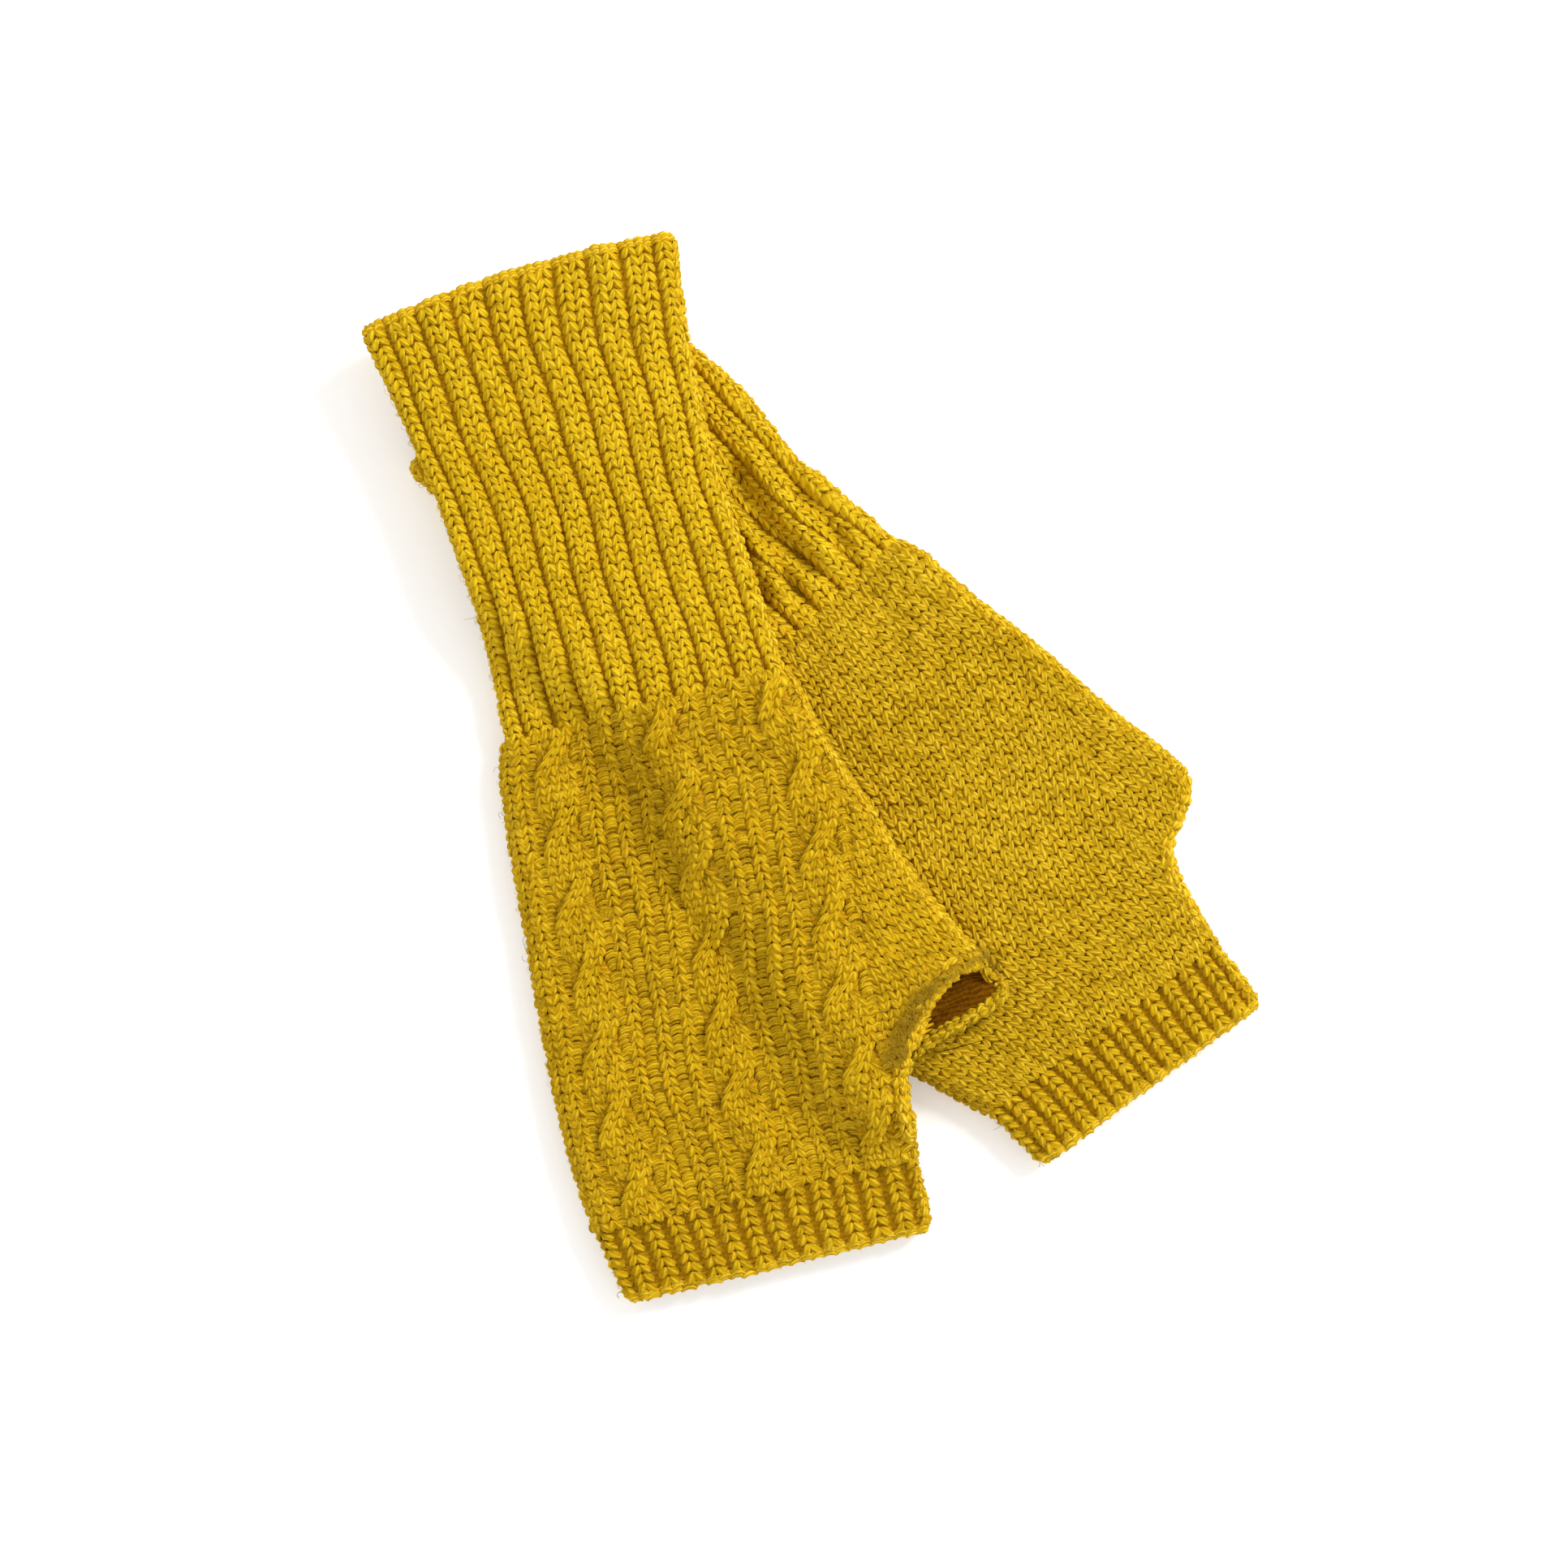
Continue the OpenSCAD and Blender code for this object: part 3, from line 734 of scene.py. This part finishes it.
def ground(name, lay, start, end, height):
    wide = int(lay["width"].max() / GRID_MM)
    long = int((end - start) / GRID_MM)
    bm = bmesh.new()
    bmesh.ops.create_grid(bm, x_segments=wide, y_segments=long, size=0.5)
    cloth = bm.loops.layers.uv.new("Cloth")
    for face in bm.faces:
        for loop in face.loops:
            loop[cloth].uv = ((loop.vert.co.x + 0.5) * wide * GRID_MM / 10,
                              (loop.vert.co.y + 0.5) * long * GRID_MM / 10)
    mesh = bpy.data.meshes.new(name)
    bm.to_mesh(mesh)
    bm.free()
    flat = np.array([v.co[:] for v in mesh.vertices])
    s = start + (flat[:, 1] + 0.5) * (end - start)
    x = (flat[:, 0] + 0.5) * np.interp(s, lay["s"], lay["width"])
    points = on_layer(lay, s, x, height(s, x) - SINK)
    mesh.vertices.foreach_set("co", (points * MM).astype(np.float32).ravel())
    if lay["mouth"]:
        bm = bmesh.new()
        bm.from_mesh(mesh)
        past = x > mouth_at(lay, s) + 0.1
        gone = [f for f in bm.faces if all(past[v.index] for v in f.verts)]
        bmesh.ops.delete(bm, geom=gone, context="FACES")
        bm.to_mesh(mesh)
        bm.free()
    mesh.polygons.foreach_set("use_smooth", np.ones(len(mesh.polygons), bool))
    mesh.update()
    # on top the faces have to look up, and underneath they have to look down
    if sum(f.normal.z * f.area for f in mesh.polygons) * (1 if lay["top"] else -1) < 0:
        mesh.flip_normals()
    piece = bpy.data.objects.new(name, mesh)
    bpy.context.scene.collection.objects.link(piece)
    # the second material is painted shade: the inner side of the ground gets the darker inside wool
    mesh.materials.append(GROUND_WOOL)
    mesh.materials.append(INSIDE_PAINTED_SHADE_WOOL)
    wall = piece.modifiers.new("yarn behind", "SOLIDIFY")
    wall.material_offset = 1
    wall.thickness, wall.offset = GROUND_WALL * MM, -1
    inside = (lay["s"] >= start) & (lay["s"] <= end)
    area = float(lay["width"][inside].mean()) * (end - start) * MM * MM
    flat_size = (float(lay["width"][inside].max()) * MM, (end - start) * MM)
    return piece, flat_size, min(area, flat_size[0] * flat_size[1])

# %% [markdown]
# ## Knitting each zone
# Every zone is one yarn piece and one ground piece. The under glove's cuff and hand and the upper glove's
# hand ride on the frame's bodies, and the upper cuff and the hems only have their transforms baked.

# %% Knit the zones
def along_point(g, s, z):
    cx, cy = centre(g, np.array(float(s)))
    return (float(cx) * MM, float(cy) * MM, z * MM)


def settle(piece, glove, zone):
    """Tie a piece to its body, or, for the upper cuff and the hems, only bake its transform."""
    z = THICK + (THICK + REST_GAP if glove is UPPER and zone == "cuff" else 0)
    if zone == "hem":
        along_point(glove, HAND - 1, z)
        along_point(glove, HAND + 7, z)
        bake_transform(piece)
    elif glove is UNDER:
        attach(piece, "under_glove")
    elif zone == "hand":
        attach(piece, "upper_hand")
    else:
        along_point(glove, -15, z)
        along_point(glove, -1, z)
        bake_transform(piece)


def finish_zone(yarn, lay, material, cloth, zone, nodes):
    piece = yarn.build(material)
    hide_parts(*nodes)
    settle(piece, lay["glove"], zone)
    back, flat_size, area = cloth
    settle(back, lay["glove"], zone)
    print(back.name, "flat", [round(v / MM) for v in flat_size], "mm")


def knit_cuff(side):
    lay = LAYERS[side]
    g, name = lay["glove"], lay["glove"]["name"]
    part = side.split("_")[1]
    height = rib_relief(lay, CUFF_RIBS, CUFF_CREST, CUFF_DEPTH)
    yarn = YarnPiece(f"{name}_cuff_{part}_stitches")
    rows = rows_between(-g["cuff"], 0.5)
    for wale in rib_wales(lay, CUFF_RIBS, 2, CUFF_WALE, height):
        lay_legs(yarn, lay, wale, KNIT_PATH, KNIT_RADIUS, rows)
    # the cast-on row: a bar of yarn across every wale, round the mouth
    cast_on = YarnPiece(f"{name}_cast_on_{part}")
    for wale in rib_wales(lay, CUFF_RIBS * 4, 1, 1.0, lambda s, x: height(s, x) - 0.2):
        for at, out in ((-g["cuff"] - 0.2, 0.0), (-g["cuff"] - 1.2, -0.7), (-g["cuff"] - 1.0, -1.8)):
            lay_legs(cast_on, lay, wale, PURL_PATH, PURL_RADIUS, np.array([at]), sides=(1,), out=out)
    cloth = ground(f"{name}_cuff_{part}_ground", lay, -g["cuff"] - 1, 0.5, height)
    finish_zone(yarn, lay, RIB_WOOL_PAINTED_LIGHT, cloth, "cuff", [f"{name}_cuff_{part}"])
    edge = cast_on.build(EDGE_WOOL_PAINTED_LIGHT)
    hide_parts(f"{name}_cast_on_edge")
    settle(edge, g, "cuff")


PALM_WALES, PALM_ZONE = 27, 88.0  # plain wales across the palm, and mm that they fill at most


def knit_palm(side):
    lay = LAYERS[side]
    name = lay["glove"]["name"]

    def zone(s):
        return np.minimum(PALM_ZONE, np.interp(s, lay["s"], lay["width"]))

    def height(s, x):
        return np.full_like(s, -0.3)
    yarn = YarnPiece(f"{name}_palm_stitches")
    rows = rows_between(0, HAND)
    for k in range(PALM_WALES):
        wale = (lambda s, k=k: (k + 0.5) * zone(s) / PALM_WALES, lambda s: zone(s) / PALM_WALES, height)
        lay_legs(yarn, lay, wale, KNIT_PATH, KNIT_RADIUS, rows)
    for wale, shown in gusset_wales(lay, zone, height):
        if shown(rows).any():
            lay_legs(yarn, lay, wale, KNIT_PATH, KNIT_RADIUS, rows[shown(rows)])
    cloth = ground(f"{name}_palm_ground", lay, 0, HAND, lambda s, x: height(s, x) - 0.1)
    finish_zone(yarn, lay, PLAIN_WOOL_PAINTED_SHADE, cloth, "hand", [f"{name}_palm_panel"])


def knit_back(side):
    lay = LAYERS[side]
    name = lay["glove"]["name"]
    height = panel_relief(lay)
    yarn = YarnPiece(f"{name}_cable_stitches")
    rows = rows_between(0, HAND)
    purl_rows = np.sort(np.concatenate([rows, rows + 0.5 * COURSE]))

    def scaled(x0):
        return lambda s: x0 * zone_of(lay, s) / ZONE
    for x0 in KNIT_AT:
        wale = (scaled(x0), lambda s: np.full_like(s, KNIT_WIDE), height)
        lay_legs(yarn, lay, wale, KNIT_PATH, KNIT_RADIUS, rows, thick=1.04)
    for x0 in PURL_AT:
        wale = (scaled(x0), lambda s: np.full_like(s, PURL_WIDE), height)
        lay_legs(yarn, lay, wale, PURL_PATH, PURL_RADIUS, purl_rows, sides=(1,), thick=0.86, unruly=1.8)
    for middle in CABLE_AT:
        for wale in cable_wales(lay, middle, height):
            lay_legs(yarn, lay, wale, KNIT_PATH, KNIT_RADIUS, rows, thick=1.04)
    for wale, shown in gusset_wales(lay, lambda s: zone_of(lay, s), height):
        if shown(rows).any():
            lay_legs(yarn, lay, wale, KNIT_PATH, KNIT_RADIUS, rows[shown(rows)])
    cloth = ground(f"{name}_cable_ground", lay, 0, HAND, height)
    finish_zone(yarn, lay, CABLE_WOOL_PAINTED_SHADE, cloth, "hand", [f"{name}_back_panel"])


def knit_hem(side):
    lay = LAYERS[side]
    g, name = lay["glove"], lay["glove"]["name"]
    part = side.split("_")[1]
    height = rib_relief(lay, HEM_RIBS, HEM_CREST, HEM_DEPTH)
    yarn = YarnPiece(f"{name}_hem_{part}_stitches")
    rows = rows_between(HAND, HAND + HEM)
    for wale in rib_wales(lay, HEM_RIBS, 1, HEM_WALE, height):
        lay_legs(yarn, lay, wale, KNIT_PATH, KNIT_RADIUS, rows, thick=1.15)
    # the bind-off: a chain of loops that runs round the finger opening
    bind_off = YarnPiece(f"{name}_bind_off_{part}")
    end = HAND + HEM
    for wale in rib_wales(lay, HEM_RIBS * 2, 1, 1.0, lambda s, x: height(s, x) - 0.2):
        for at, out in ((end + 0.3, 0.1), (end + 1.3, -0.6), (end + 1.2, -1.9)):
            lay_legs(bind_off, lay, wale, PURL_PATH, PURL_RADIUS, np.array([at]), sides=(1,), out=out)
    cloth = ground(f"{name}_hem_{part}_ground", lay, HAND, HAND + HEM + 1, height)
    finish_zone(yarn, lay, CABLE_WOOL_PAINTED_SHADE, cloth, "hem", [f"{name}_hem_{part}"])
    edge = bind_off.build(EDGE_WOOL_PAINTED_LIGHT)
    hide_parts(f"{name}_bind_off_edge")
    settle(edge, g, "hem")


for side in LAYERS:
    knit_cuff(side)
    (knit_palm if side.endswith("palm") else knit_back)(side)
    knit_hem(side)

# %% [markdown]
# ## The thumb slit and the side seam
# The seam is linked from the inside, which leaves a ridge there. Along the slit it is left open, and
# the edge of each layer rolls over into a soft cord, because plain knit always curls at its sides.

# %% Slit edges and seam ridges
def edge_path(lay, start, end, inset, up):
    """Points in mm along a layer's seam edge, evenly spaced and moved by inset and up, with their
    directions along and outward.
    """
    s = np.linspace(start, end, 4000)
    width = mouth_at(lay, s)
    points = on_layer(lay, s, width - 1e-3 * width, np.zeros_like(s))
    inner = on_layer(lay, s, width - 3.0, np.zeros_like(s))
    run = np.concatenate([[0], np.cumsum(np.linalg.norm(np.diff(points, axis=0), axis=1))])
    at = np.linspace(0, run[-1], int(run[-1] / 0.5))
    path = np.stack([np.interp(at, run, points[:, k]) for k in range(3)], -1)
    back = np.stack([np.interp(at, run, inner[:, k]) for k in range(3)], -1)
    tangent = np.gradient(path, axis=0)
    tangent /= np.linalg.norm(tangent, axis=1, keepdims=True)
    outward = path - back
    outward -= (outward * tangent).sum(1, keepdims=True) * tangent
    outward /= np.linalg.norm(outward, axis=1, keepdims=True)
    return path - outward * inset + np.array([0, 0, up]), tangent, outward


def lay_cord(piece, path, thick, round_count, taper=6.0, unruly=1.0, turn_from=0.0, turn_to=2 * math.pi):
    """Wrap a roll of knit legs round a path: thick is the roll's radius in mm."""
    points, tangent, outward = path
    up = np.cross(tangent, outward)
    up *= np.sign(up[:, 2:] + 1e-9)
    run = 0.5 * np.arange(len(points))
    at = np.arange(1.2, run[-1] - 1.2, COURSE)
    for n in range(round_count):
        turn = turn_from + (turn_to - turn_from) * (n + 0.5) / round_count
        for side in (1, -1):
            middle, wrap = leg_shape([(a, side * b * WALE * 0.8, c) for a, b, c in KNIT_PATH],
                                     np.array(KNIT_RADIUS) * 0.92)
            jitter = rng.normal(0, 0.16 * unruly, (len(at), 3))
            shape = middle + wrap * rng.normal(1, 0.12, (len(at), 1, 1))
            along = np.clip(at[:, None] + shape[..., 0] + jitter[:, :1], 0, run[-1])
            ends = ease(along / taper) * ease((run[-1] - along) / taper)
            r = thick * (0.45 + 0.55 * ends) + shape[..., 2] - 0.5 + jitter[:, 1:2]
            angle = turn + (shape[..., 1] + jitter[:, 2:3]) / max(thick, 1.2)
            look = [np.stack([np.interp(along, run, v[:, k]) for k in range(3)], -1)
                    for v in (points, outward, up)]
            piece.add(look[0] + (r * np.cos(angle))[..., None] * look[1]
                      + (r * np.sin(angle))[..., None] * look[2])


# radius of each rolled edge, how far it sits in from the edge, and how far up, in mm
RIMS = {"upper_back": (1.6, 0.8, -0.4), "upper_palm": (1.3, 0.6, 0.6),
        "under_palm": (1.5, 1.0, -0.8), "under_back": (1.3, 1.0, 0.8)}
for side, (thick, inset, up) in RIMS.items():
    lay = LAYERS[side]
    g, part = lay["glove"], side.split("_")[1]
    yarn = YarnPiece(f"{g['name']}_slit_edge_{part}_cord")
    lay_cord(yarn, edge_path(lay, SLIT_AT - 4, SLIT_AT + SLIT_LEN, inset, up), thick, 5, unruly=1.6)
    # painted shade on the upper palm's low lip, which lies in shade, and painted light on the other rolled
    # edges
    cord = yarn.build(PLAIN_WOOL_PAINTED_SHADE if side == "upper_palm" else EDGE_WOOL_PAINTED_LIGHT)
    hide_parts(f"{g['name']}_slit_edge_{part}")
    settle(cord, g, "hand")

ZONES = {"cuff": (-1000, -1), "hand": (1, SLIT_AT), "hem": (HAND + 1, HAND + HEM)}
for side in ("upper_back", "under_palm"):
    lay = LAYERS[side]
    g = lay["glove"]
    for zone, (start, end) in ZONES.items():
        yarn = YarnPiece(f"{g['name']}_{zone}_seam_ridge")
        lay_cord(yarn, edge_path(lay, max(start, -g["cuff"]), end, 3.4, 0), 1.0, 2,
                 turn_from=0.5 * math.pi, turn_to=1.5 * math.pi)
        ridge = yarn.build(EDGE_WOOL_PAINTED_LIGHT)
        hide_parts(f"{g['name']}_{zone}_seam")
        settle(ridge, g, zone)

# %% [markdown]
# ## Stray fibres
# Wool is hairy. Fine curved fibres stand off the surface everywhere, and more at the thumb edge. Each
# is a leg drawn long and thin, a tenth of a millimetre thick.

# %% Fibres
FIBRE_R = 0.05  # mm; a real fibre is thinner, but it would not show


def fibres(name, lay, start, end, count, zone, height, near_edge=False):
    """Scatter single curved fibres over a layer, or only near its seam edge."""
    yarn = YarnPiece(name, FIBRE)
    s_at = rng.uniform(start, end, count)
    if near_edge:
        x_at = mouth_at(lay, s_at) - rng.uniform(0.5, 7, count)
    else:
        x_at = rng.uniform(0.01, 0.99, count) * np.interp(s_at, lay["s"], lay["width"])
    t = np.linspace(0, 1, 5)
    for s0, x0 in zip(s_at, x_at):
        reach, turn = rng.uniform(1.2, 3.4), rng.uniform(0, 2 * math.pi)
        up, bow = rng.uniform(0.3, 1.3), rng.uniform(-1.1, 1.1)
        along, aside = t * reach, bow * np.sin(math.pi * t)
        path = np.stack([along * math.cos(turn) - aside * math.sin(turn),
                         (along * math.sin(turn) + aside * math.cos(turn)) / WALE,
                         0.7 + up * np.sin(math.pi * t * rng.uniform(0.6, 1))], -1)
        wale = (lambda s, x0=x0: np.full_like(s, x0), lambda s: np.full_like(s, WALE), height)
        lay_legs(yarn, lay, wale, path, [FIBRE_R] * 5, np.array([s0]), sides=(1,), unruly=0, form=FIBRE)
    piece = yarn.build(FIBRE_WOOL_PAINTED_HIGHLIGHT)
    settle(piece, lay["glove"], zone)


for side in LAYERS:
    lay = LAYERS[side]
    name = lay["glove"]["name"] + "_" + side.split("_")[1]
    share = 1.0 if lay["top"] else 0.3
    hand_height = panel_relief(lay) if side.endswith("back") else (lambda s, x: np.full_like(s, -0.3))
    fibres(f"{name}_cuff_fibres", lay, -lay["glove"]["cuff"], 0, int(1300 * share), "cuff",
           rib_relief(lay, CUFF_RIBS, CUFF_CREST, CUFF_DEPTH))
    fibres(f"{name}_hand_fibres", lay, 1, HAND,
           int((4200 if side == "upper_back" else 1500) * share), "hand", hand_height)
    fibres(f"{name}_hem_fibres", lay, HAND + 1, HAND + HEM, int(300 * share), "hem",
           rib_relief(lay, HEM_RIBS, HEM_CREST, HEM_DEPTH))
    if lay["glove"] is UPPER:
        fibres(f"{name}_thumb_fibres", lay, SLIT_AT - 7, SLIT_AT + 14, 700, "hand",
               lambda s, x: np.full_like(s, 0.8), near_edge=True)

# %% [markdown]
# ## Light, floor and camera
# A white floor, a white sky and one large soft lamp from the upper right give a gentle light that
# still shades the ribs. The camera looks straight down.

# %% Studio
FLOOR_DROP = 0.4  # mm that the paper lies below the gloves
LAMP_AT, LAMP_SIZE, LAMP_WATTS = (0.75, 0.65, 0.9), 0.4, 12.0  # metres, metres and watts


def studio():
    bm = bmesh.new()
    bmesh.ops.create_grid(bm, x_segments=1, y_segments=1, size=2.5)
    mesh = bpy.data.meshes.new("floor")
    bm.to_mesh(mesh)
    bm.free()
    floor = bpy.data.objects.new("floor", mesh)
    floor.location.z = -FLOOR_DROP * MM
    bpy.context.scene.collection.objects.link(floor)
    white = bpy.data.materials.new("white paper")
    white.use_nodes = True
    shader = white.node_tree.nodes["Principled BSDF"]
    shader.inputs["Base Color"].default_value = linear("FFFFFF")
    shader.inputs["Roughness"].default_value = 0.9
    shader.inputs["Emission Color"].default_value = linear("FFFFFF")
    shader.inputs["Emission Strength"].default_value = 0.2
    mesh.materials.append(white)
    world = bpy.data.worlds.new("white sky")
    world.use_nodes = True
    world.node_tree.nodes["Background"].inputs[0].default_value = (1, 1, 1, 1)
    world.node_tree.nodes["Background"].inputs[1].default_value = 0.85
    bpy.context.scene.world = world
    lamp = bpy.data.lights.new("soft lamp", "AREA")
    lamp.energy, lamp.size = LAMP_WATTS, LAMP_SIZE
    holder = bpy.data.objects.new("soft lamp", lamp)
    holder.location = LAMP_AT
    holder.rotation_euler = Vector(holder.location).to_track_quat("Z", "Y").to_euler()
    bpy.context.scene.collection.objects.link(holder)


bpy.context.scene.view_settings.view_transform = "Standard"
PICTURE_CENTRE = (-8.0, -2.8)  # mm, the middle of the picture in the frame
VIEW_WIDTH, VIEW_HEIGHT = 405.7, 10.0  # mm across the picture, and above the table where it is so wide
studio()
camera = bpy.data.cameras.new("camera")
camera.lens, camera.sensor_width = 85, 36
eye = bpy.data.objects.new("camera", camera)
eye.location = (PICTURE_CENTRE[0] * MM, PICTURE_CENTRE[1] * MM,
                VIEW_WIDTH * MM * camera.lens / camera.sensor_width + VIEW_HEIGHT * MM)
bpy.context.scene.collection.objects.link(eye)
bpy.context.scene.camera = eye
